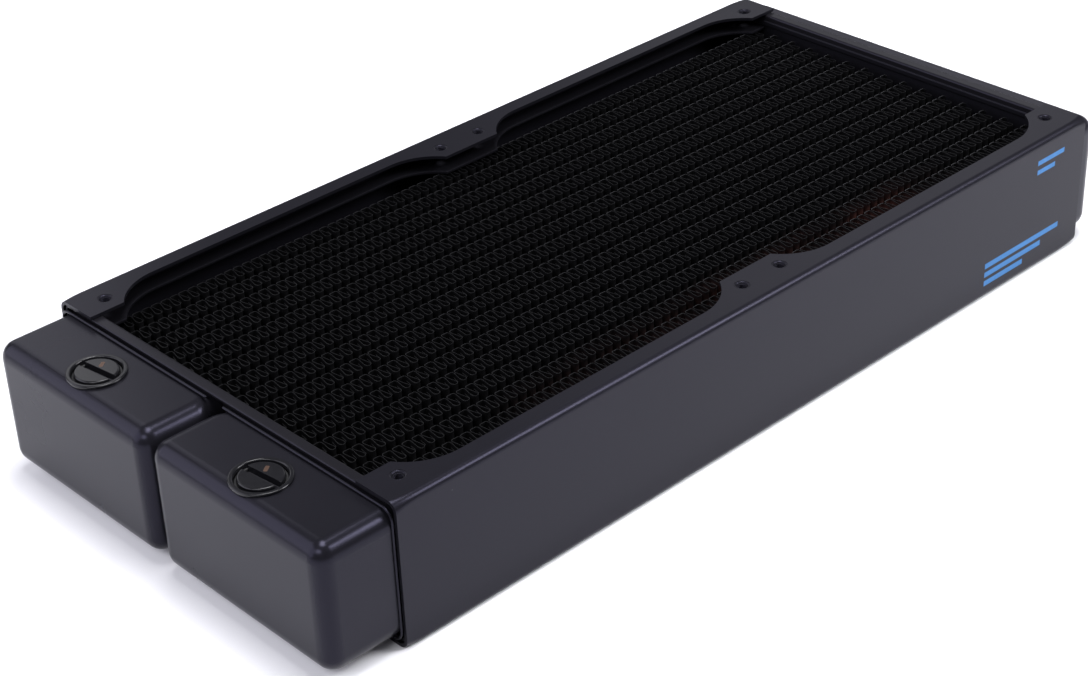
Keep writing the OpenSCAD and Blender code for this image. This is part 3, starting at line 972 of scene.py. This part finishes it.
def bead_mesh(bm, y0, y1, gap, sx, sy):
    """Rounded bead where the tank meets the pan, about the pattern's middle; sx, sy mirror it."""
    hz, rc = 19.85, 3.2
    ymax = 70.15
    rad = 0.42
    path = []
    if gap:
        path.append((gap, hz))
    else:
        path.append((0.0, hz))
    path += [(ymax - rc + rc * math.sin(math.radians(a)), hz - rc + rc * math.cos(math.radians(a))) for a in range(0, 91, 15)]
    half = path
    full = half + [(y, -z) for y, z in reversed(half)]
    closed = False
    if not gap:
        full = [(y, z) for y, z in full[:-1]] + [(-y, -z) for y, z in full[:-1]]
        closed = True
    n = 12
    pts = [Vector((0, y, z)) for y, z in full]
    m = len(pts)
    rings = []
    for i in range(m):
        if closed:
            t = (pts[(i + 1) % m] - pts[i - 1]).normalized()
        else:
            t = (pts[min(i + 1, m - 1)] - pts[max(i - 1, 0)]).normalized()
        nrm = Vector((0, -t.z, t.y))
        ring = []
        for k in range(n):
            a = 2 * math.pi * k / n
            q = pts[i] + nrm * (rad * math.cos(a)) + Vector((1, 0, 0)) * (rad * 0.95 * math.sin(a))
            ring.append((141.45 + q.x, q.y, ZM + q.z))
        rings.append(ring)
    if not closed:
        # hemispherical ends
        def endcap(centre, t, ring_sign):
            out = []
            nrm = Vector((0, -t.z, t.y))
            for f in (0.5, 0.87):
                rr = rad * math.sqrt(1 - f * f)
                c = centre + t * (rad * f * ring_sign)
                out.append([(141.45 + (Vector((1, 0, 0)) * (rr * 0.95 * math.sin(2 * math.pi * k / n))).x,
                             (c + nrm * (rr * math.cos(2 * math.pi * k / n))).y,
                             ZM + (c + nrm * (rr * math.cos(2 * math.pi * k / n))).z) for k in range(n)])
            return out
        t0 = (pts[1] - pts[0]).normalized()
        t1 = (pts[-1] - pts[-2]).normalized()
        rings = list(reversed(endcap(pts[0], t0, -1))) + rings + endcap(pts[-1], t1, 1)
    vs = [[bm.verts.new((CX + sx * x, sy * y, z)) for x, y, z in r] for r in rings]
    cnt = len(vs)
    for i in range(cnt if closed else cnt - 1):
        a, b = vs[i], vs[(i + 1) % cnt]
        for k in range(n):
            bm.faces.new((a[k], a[(k + 1) % n], b[(k + 1) % n], b[k]))
    if not closed:
        bm.faces.new(list(reversed(vs[0])))
        bm.faces.new(vs[-1])


def subtract(bm, cutter):
    """Exact difference of two closed meshes, both in mm."""
    obs = []
    for b in (bm, cutter):
        me = bpy.data.meshes.new("work")
        b.to_mesh(me)
        b.free()
        ob = bpy.data.objects.new("work", me)
        bpy.context.scene.collection.objects.link(ob)
        obs.append(ob)
    md = obs[0].modifiers.new("cut", "BOOLEAN")
    md.operation = "DIFFERENCE"
    md.solver = "EXACT"
    md.object = obs[1]
    bpy.context.view_layer.update()
    dg = bpy.context.evaluated_depsgraph_get()
    done = bpy.data.meshes.new_from_object(obs[0].evaluated_get(dg))
    out = bmesh.new()
    out.from_mesh(done)
    for ob in obs:
        me = ob.data
        bpy.data.objects.remove(ob)
        bpy.data.meshes.remove(me)
    bpy.data.meshes.remove(done)
    return out


def rod(cx, cy, r, z0, z1, n=72):
    bm = bmesh.new()
    lo = [bm.verts.new((cx + r * math.cos(2 * math.pi * k / n), cy + r * math.sin(2 * math.pi * k / n), z0)) for k in range(n)]
    hi = [bm.verts.new((v.co.x, v.co.y, z1)) for v in lo]
    for k in range(n):
        bm.faces.new((lo[k], lo[(k + 1) % n], hi[(k + 1) % n], hi[k]))
    bm.faces.new(list(reversed(lo)))
    bm.faces.new(hi)
    return bm


def make_tank(name, y0, y1, depth, radii, hole, gap, sx, sy):
    bm = tank_mesh(y0, y1, depth, radii, gap)
    for v in bm.verts:
        v.co.x = CX + sx * v.co.x
        v.co.y = sy * v.co.y
    bmesh.ops.recalc_face_normals(bm, faces=bm.faces[:])
    mid = Vector((CX + sx * 120, sy * (y0 + y1) / 2, ZM))
    out = sum(1 if f.normal.dot(f.calc_center_median() - mid) > 0 else -1 for f in bm.faces)
    if out < 0:
        bmesh.ops.reverse_faces(bm, faces=bm.faces[:])
    bm.normal_update()
    bmesh.ops.solidify(bm, geom=bm.faces[:], thickness=0.9)
    bmesh.ops.recalc_face_normals(bm, faces=bm.faces[:])
    if hole:
        bm = subtract(bm, rod(PORT_X, sy * PORT_Y, 7.55, ZM + 10, ZM + 25))
    shell = set(bm.faces)
    bead_mesh(bm, y0, y1, 3.9 if gap else 0, sx, sy)
    # painted shade: the return tank's bead takes the near-black groove paint
    if not gap:
        for f in bm.faces:
            if f not in shell:
                f.material_index = 1
    return bm_object(name + "_pressing", bm, replaces=(name,), slot="painted_brass", mats=(M_TANK,) if gap else (M_TANK_R, M_GROOVE_SHADE), angle=40)


make_tank("outlet_tank", 0.8, 70.0, 23.0, (5.0, 5.0, 5.0, 5.2), True, True, -1, 1)
make_tank("inlet_tank", 0.8, 70.0, 23.0, (5.0, 5.0, 5.0, 5.2), True, True, -1, -1)
make_tank("return_tank", -70.0, 70.0, 9.0, (5.0, 5.0, 5.0, 5.2), False, False, 1, 1)


# ---------------------------------------------------------------- ports
TOP = ZM + 19.35 + 0.8          # top plane of the port collars
SEAT = TOP - 2.1
FACE = TOP + 0.1                # plug's face


def bushing_profile():
    ro, rr = 8.3, 0.42
    p = [(6.61, TOP - 9.0), (6.8, TOP - 9.0), (7.4, TOP - 9.0), (7.6, TOP - 8.8), (7.6, TOP - 1.6), (8.0, TOP - 1.45), (ro - 0.1, TOP - 1.1), (ro - 0.02, TOP - 0.80)]
    p += [(ro - rr + rr * math.cos(math.radians(a)), TOP - rr + rr * math.sin(math.radians(a))) for a in (0, 18, 36, 54, 72, 90)]
    p += [(7.36, TOP), (7.26, TOP - 0.02), (7.12, TOP - 0.10), (7.02, TOP - 0.22), (6.96, TOP - 0.38), (6.95, TOP - 0.55), (6.95, SEAT + 0.05), (6.9, SEAT), (6.66, SEAT),
          (6.61, SEAT - 0.05)]
    z = SEAT - 0.3
    while z > TOP - 8.7:
        p += [(6.61, z), (7.05, z - 0.50), (6.61, z - 1.0)]
        z -= 1.337
    return p


def plug_profile():
    rt, rf, rr = 6.55, 6.1, 0.55
    p = [(0.0, TOP - 8.4), (5.6, TOP - 8.4), (5.9, TOP - 8.3)]
    z = TOP - 7.9
    while z < SEAT - 1.2:
        p += [(5.95, z), (rt, z + 0.52), (rt, z + 0.72), (5.95, z + 1.25)]
        z += 1.337
    p += [(rt - 0.03, SEAT - 0.25), (rt - 0.10, SEAT - 0.08), (5.95, SEAT - 0.06), (5.93, SEAT + 0.98), (rf - 0.05, SEAT + 1.0), (rf, SEAT + 1.06)]
    p += [(rf - rr + rr * math.cos(math.radians(a)), FACE - rr + rr * math.sin(math.radians(a))) for a in (0, 15, 30, 45, 60, 75, 90)]
    p += [(0.0, FACE)]
    return p


def make_port(sy, name_b, name_s, name_p, body_s, body_p, turn):
    c = (PORT_X, sy * PORT_Y)
    s = Soup()
    s.add(*lathe(bushing_profile(), c, 96))
    ob = bm_object(name_b + "_turned", s.bm(0), replaces=(name_b,), slot="painted_brass", mats=(M_BUSH,), angle=38)
    # O-ring
    s = Soup()
    ring = [(6.43 + 0.45 * math.cos(2 * math.pi * k / 20), SEAT + 0.03 + 0.45 + 0.45 * math.sin(2 * math.pi * k / 20)) for k in range(20)]
    s.add(*lathe(ring, c, 96))
    bm_object(name_s + "_ring", s.bm(0), body=body_s, replaces=(name_s,), slot="seal_rubber", mats=(M_RUBBER,), angle=60)
    # plug, its slot cut by a blade with rounded corners
    s = Soup()
    s.add(*lathe(plug_profile(), c, 96, closed=False))
    body = s.bm(1e-4)
    bmesh.ops.recalc_face_normals(body, faces=body.faces[:])
    bm = bmesh.new()
    hw, dep, ln, rr = 1.0, 2.0, 7.5, 0.30
    sec = [(-hw - 0.62, FACE + 0.5), (-hw - 0.12, FACE), (-hw - 0.035, FACE - 0.035), (-hw, FACE - 0.12), (-hw, FACE - dep + rr)]
    sec += [(-hw + rr - rr * math.cos(math.radians(a)), FACE - dep + rr - rr * math.sin(math.radians(a))) for a in (30, 60, 90)]
    sec += [(-q, z) for q, z in reversed(sec)]
    ca, sa = math.cos(math.radians(turn)), math.sin(math.radians(turn))
    rows = []
    for t in (-ln, ln):
        rows.append([bm.verts.new((c[0] + q * ca - t * sa, c[1] + q * sa + t * ca, z)) for q, z in sec])
    k = len(sec)
    for i in range(k):
        bm.faces.new((rows[0][i], rows[0][(i + 1) % k], rows[1][(i + 1) % k], rows[1][i]))
    bm.faces.new(rows[0])
    bm.faces.new(list(reversed(rows[1])))
    bmesh.ops.recalc_face_normals(bm, faces=bm.faces[:])
    body = subtract(body, bm)
    bm_object(name_p + "_turned", body, body=body_p, replaces=(name_p,), slot="plug_black", mats=(M_PLUG,), angle=38)
    # small plain bar inlaid beside the slot
    bx, by = 2.75, 0.9
    s = Soup()
    hl, hh, q = 1.25, 0.55, 0.3
    ring = arc(hl - q, hh - q, q, 0, 90, 5) + arc(-hl + q, hh - q, q, 90, 180, 5) + arc(-hl + q, -hh + q, q, 180, 270, 5) + arc(hl - q, -hh + q, q, 270, 360, 5)
    n = len(ring)

    def place(x, y, z):
        u, w = bx + x * math.cos(0.5) - y * math.sin(0.5), by + x * math.sin(0.5) + y * math.cos(0.5)
        return (c[0] + u * ca - w * sa, c[1] + u * sa + w * ca, z)

    v = [place(x, y, FACE - 0.05) for x, y in ring] + [place(x, y, FACE + 0.006) for x, y in ring] + [place(x * 0.96, y * 0.93, FACE + 0.014) for x, y in ring]
    f = [(i, (i + 1) % n, n + (i + 1) % n, n + i) for i in range(n)] + [(n + i, n + (i + 1) % n, 2 * n + (i + 1) % n, 2 * n + i) for i in range(n)]
    f += [tuple(range(2 * n, 3 * n)), tuple(reversed(range(n)))]
    s.add(v, f)
    bm_object(name_p + "_bar", s.bm(0), body=body_p, slot="plug_black", mats=(M_MARK,), angle=60)


make_port(-1, "inlet_port_bushing", "inlet_plug_seal", "inlet_plug", "inlet_plug_carrier", "inlet_plug", 5.6)
make_port(1, "outlet_port_bushing", "outlet_plug_seal", "outlet_plug", "outlet_plug_carrier", "outlet_plug", 7.8)


# ---------------------------------------------------------------- fin strips
FIN_P = 3.2
FIN_T = 0.13
FIN_A = 2.73          # half height of a strip, to the outside of its crests
FIN_Z0, FIN_Z1 = ZM - 16.05, ZM + 16.05
WAVES = 84


def fin_path(rng):
    """Mid-line of a strip: points (x, y, kind) with kind 0 bend, 1 leg's ends, 2 leg's middle segment start."""
    a = FIN_A - FIN_T / 2
    r = 0.62
    half = FIN_P / 4
    pts = []
    x = -WAVES * FIN_P / 2
    jit = 0.0
    for w in range(2 * WAVES):
        top = w % 2 == 1
        sgn = 1 if top else -1
        # crest number w, its middle at x + half, legs lean out so that crests are wider than mouths
        xc = x + FIN_P / 4 + w * FIN_P / 2 + rng.uniform(-0.12, 0.12)
        wd = half + (0.50 if top else 0.08) + rng.uniform(-0.06, 0.06)
        yc = sgn * (a - rng.uniform(0.0, 0.05))
        pts.append((xc, wd, yc, sgn, r))
    # straight tail on the +Y side, then the first leg
    xt = pts[0][0] - pts[0][1]
    path = [(xt - 1.7, a, 0), (xt - r, a, 0)]
    path += [(xt - r + r * math.sin(math.radians(g)), a - r + r * math.cos(math.radians(g)), 0) for g in (30, 60, 90)]
    path.append((xt, a - r - 0.55, 2))
    for (xc, wd, yc, sgn, r) in pts:
        # entering leg from the other side, round the first corner, flat crest, second corner
        x0, x1 = xc - wd, xc + wd
        path.append((x0, yc - sgn * (r + 0.55), 1))
        path.append((x0 - 0.0, yc - sgn * r, 0))
        for ang in (30, 60, 90):
            t = math.radians(ang)
            path.append((x0 + r - r * math.cos(t), yc - sgn * (r - r * math.sin(t)), 0))
        path.append((x1 - r, yc, 0))
        for ang in (30, 60, 90):
            t = math.radians(ang)
            path.append((x1 - r + r * math.sin(t), yc - sgn * (r - r * math.cos(t)), 0))
        path.append((x1, yc - sgn * (r + 0.55), 2))
    return path


def fin_mesh(rng):
    path = fin_path(rng)
    P = np.array([(p[0], p[1]) for p in path])
    kind = [p[2] for p in path]
    n = len(P)
    T = np.gradient(P, axis=0)
    T /= np.linalg.norm(T, axis=1)[:, None]
    N = np.stack([-T[:, 1], T[:, 0]], 1)
    # mitre at corners
    seg = P[1:] - P[:-1]
    seg /= np.linalg.norm(seg, axis=1)[:, None]
    nrm = np.stack([-seg[:, 1], seg[:, 0]], 1)
    N[0], N[-1] = nrm[0], nrm[-1]
    for i in range(1, n - 1):
        b = nrm[i - 1] + nrm[i]
        b /= np.linalg.norm(b)
        N[i] = b / max(0.5, b @ nrm[i])
    A = P + N * FIN_T / 2
    B = P - N * FIN_T / 2
    zs = [FIN_Z0, FIN_Z0 + 0.8, FIN_Z0 + 5.0, FIN_Z1 - 5.0, FIN_Z1 - 0.8, FIN_Z1]
    nz = len(zs)
    # small unevenness of the cut edges
    dz = np.array([rng.uniform(-0.10, 0.0) for _ in range(n)])
    dz = np.convolve(np.concatenate([dz[:2], dz, dz[-2:]]), np.ones(5) / 5, "valid")
    verts = np.zeros((2, nz, n, 3))
    for s_, C in ((0, A), (1, B)):
        for k, z in enumerate(zs):
            verts[s_, k, :, 0] = C[:, 0]
            verts[s_, k, :, 1] = C[:, 1]
            verts[s_, k, :, 2] = z
        verts[s_, nz - 1, :, 2] += dz
        verts[s_, 0, :, 2] -= dz
    vid = lambda s_, k, i: (s_ * nz + k) * n + i
    solid = np.ones((nz - 1, n - 1), bool)
    faces = []
    for k in range(nz - 1):
        for i in range(n - 1):
            if not solid[k, i]:
                continue
            faces.append((vid(0, k, i), vid(0, k + 1, i), vid(0, k + 1, i + 1), vid(0, k, i + 1)))
            faces.append((vid(1, k, i), vid(1, k, i + 1), vid(1, k + 1, i + 1), vid(1, k + 1, i)))
            if k == 0 or not solid[k - 1, i]:
                faces.append((vid(0, k, i), vid(0, k, i + 1), vid(1, k, i + 1), vid(1, k, i)))
            if k == nz - 2 or not solid[k + 1, i]:
                faces.append((vid(0, k + 1, i), vid(1, k + 1, i), vid(1, k + 1, i + 1), vid(0, k + 1, i + 1)))
            if i == 0 or not solid[k, i - 1]:
                faces.append((vid(0, k, i), vid(1, k, i), vid(1, k + 1, i), vid(0, k + 1, i)))
            if i == n - 2 or not solid[k, i + 1]:
                faces.append((vid(0, k, i + 1), vid(0, k + 1, i + 1), vid(1, k + 1, i + 1), vid(1, k, i + 1)))
    V = verts.reshape(-1, 3).tolist()
    # louvre blades standing through the legs, upper and lower
    for i in range(n - 1):
        if not (kind[i] == 2 and kind[i + 1] == 1):
            continue
        p, q = P[i], P[i + 1]
        tn = (q - p) / np.linalg.norm(q - p)
        nn = np.array([-tn[1], tn[0]])
        if nn[0] > 0:
            nn = -nn
        p2, q2 = p + tn * 0.22, q - tn * 0.22
        for zone in (0, 1):
            z_lo = FIN_Z1 - 5.0 if zone else FIN_Z0 + 0.8
            cnt = 2
            step = 4.2 / cnt
            for j in range(cnt):
                zc = z_lo + step * (j + 0.5)
                h = step * 0.47
                tilt = math.radians(27 + 4 * rng.random())
                # blade's height direction leans along the wall's normal
                d = np.array([nn[0] * math.sin(tilt), nn[1] * math.sin(tilt), math.cos(tilt)]) * h
                tt = np.array([nn[0] * math.cos(tilt), nn[1] * math.cos(tilt), -math.sin(tilt)]) * (FIN_T / 2)
                c0 = np.array([p2[0], p2[1], zc])
                c1 = np.array([q2[0], q2[1], zc])
                b = len(V)
                for c in (c0, c1):
                    for sd, st in ((-1, -1), (1, -1), (1, 1), (-1, 1)):
                        V.append((c + d * sd + tt * st).tolist())
                faces += [(b, b + 1, b + 2, b + 3), (b + 7, b + 6, b + 5, b + 4),
                          (b, b + 4, b + 5, b + 1), (b + 1, b + 5, b + 6, b + 2),
                          (b + 2, b + 6, b + 7, b + 3), (b + 3, b + 7, b + 4, b)]
    return V, faces


for i in range(1, 16):
    rng = random.Random(900 + i)
    V, F = fin_mesh(rng)
    yc = (i - 8) * 8.0
    flip = 1
    V = [(CX + x, yc + y, z) for x, y, z in V]
    nm = f"fin_strip_{i:02d}"
    ob = to_object(nm + "_louvred", V, F, replaces=(nm,), slot="fin_copper", mats=(M_FIN,), angle=40, weighted=False)

# CAD nodes whose shape is right get their materials
for nm, ob in frame["nodes"].items():
    mt = None
    if nm.startswith("flat_tube"):
        mt = M_TUBE
    elif nm.startswith("core_side_plate"):
        # painted shade: the core side plates take the darker inner paint
        mt = M_INNER_SHADE
    if mt is not None:
        if ob.material_slots:
            for ms in ob.material_slots:
                ms.material = mt
        else:
            ob.data.materials.append(mt)

# ---------------------------------------------------------------- floor, light, camera
fm, nt, bs = new_mat("floor_paper")
co = node(nt, "ShaderNodeTexCoord").outputs["Object"]
fn = noise(nt, co, 8.0, 2.0)
fc = mix_rgb(nt, fn.outputs["Fac"], (0.90, 0.90, 0.91), (0.915, 0.915, 0.92))
nt.links.new(fc, bs.inputs["Base Color"])
bs.inputs["Roughness"].default_value = 0.6
bs.inputs["Specular IOR Level"].default_value = 0.25
me = bpy.data.meshes.new("floor")
S = 6.0
FZ = -0.00004
me.from_pydata([(-S, -S, FZ), (S, -S, FZ), (S, S, FZ), (-S, S, FZ)], [], [(0, 1, 2, 3)])
me.materials.append(fm)
floor = bpy.data.objects.new("floor", me)
bpy.context.scene.collection.objects.link(floor)
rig.stage(floor)

world = bpy.data.worlds.new("studio")
bpy.context.scene.world = world
world.use_nodes = True
wn = world.node_tree
wn.nodes.clear()
wo = wn.nodes.new("ShaderNodeOutputWorld")
bg = wn.nodes.new("ShaderNodeBackground")
bg.inputs["Color"].default_value = (0.90, 0.90, 1.0, 1)
bg.inputs["Strength"].default_value = 0.15
wn.links.new(bg.outputs[0], wo.inputs["Surface"])


def area(name, loc, aim, size, power, col=(1, 1, 1), shape="RECTANGLE"):
    d = bpy.data.lights.new(name, "AREA")
    d.shape = shape
    d.size, d.size_y = size
    d.energy = power
    d.color = col
    o = bpy.data.objects.new(name, d)
    bpy.context.scene.collection.objects.link(o)
    o.location = loc
    o.rotation_euler = (Vector(aim) - Vector(loc)).to_track_quat("-Z", "Y").to_euler()
    return o


area("key", (0.04, -0.04, 1.15), (0.0, 0.0, 0.0), (0.60, 0.46), 13.0, (0.98, 0.98, 1.0))
area("side", (0.60, -0.66, 0.76), (-0.05, 0.0, 0.0), (0.46, 0.44), 11.3, (0.95, 0.95, 1.0))
area("back_left", (0.03, 0.62, 0.42), (-0.13, 0.05, 0.04), (0.32, 0.40), 0.52, (0.96, 0.96, 1.0))
area("back_right", (1.15, 0.75, 0.75), (0.1, 0.0, 0.03), (0.6, 0.5), 0.80, (0.96, 0.96, 1.0))
area("left", (-1.00, 0.62, 0.60), (-0.1, 0.0, 0.0), (1.5, 1.1), 12.5, (0.88, 0.87, 1.0))
area("fill", (-0.90, -0.40, 0.95), (-0.15, 0.0, 0.0), (0.6, 0.4), 5.6, (0.95, 0.95, 1.0))

sc = bpy.context.scene
sc.view_settings.view_transform = "Standard"
sc.view_settings.look = "None"
sc.view_settings.exposure = 0.0
sc.view_settings.gamma = 1.0

# camera, fitted to the eight fan holes and the housing's corners
az, el, roll = math.radians(47.391), math.radians(31.408), math.radians(-2.411)
f = Vector((math.cos(az) * math.cos(el), math.sin(az) * math.cos(el), -math.sin(el)))
r = Vector((math.sin(az), -math.cos(az), 0.0))
u = r.cross(f)
r2 = math.cos(roll) * r + math.sin(roll) * u
u2 = -math.sin(roll) * r + math.cos(roll) * u
cam_d = bpy.data.cameras.new("camera")
cam_d.sensor_fit = "HORIZONTAL"
cam_d.sensor_width = 36.0
cam_d.lens = 2264.1 * 36.0 / 1088.0
cam_d.clip_start = 0.02
cam_d.clip_end = 50.0
cam = bpy.data.objects.new("camera", cam_d)
sc.collection.objects.link(cam)
cam.matrix_world = Matrix(((r2.x, u2.x, -f.x, (-411.23 + CX) * MM),
                           (r2.y, u2.y, -f.y, -419.83 * MM),
                           (r2.z, u2.z, -f.z, (313.06 + H) * MM),
                           (0, 0, 0, 1)))
sc.camera = cam

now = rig.bounds()
json.dump({"cad": [list(map(float, cad_bounds[0])), list(map(float, cad_bounds[1]))],
           "visual": [list(map(float, now[0])), list(map(float, now[1]))]}, open("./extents.json", "w"))
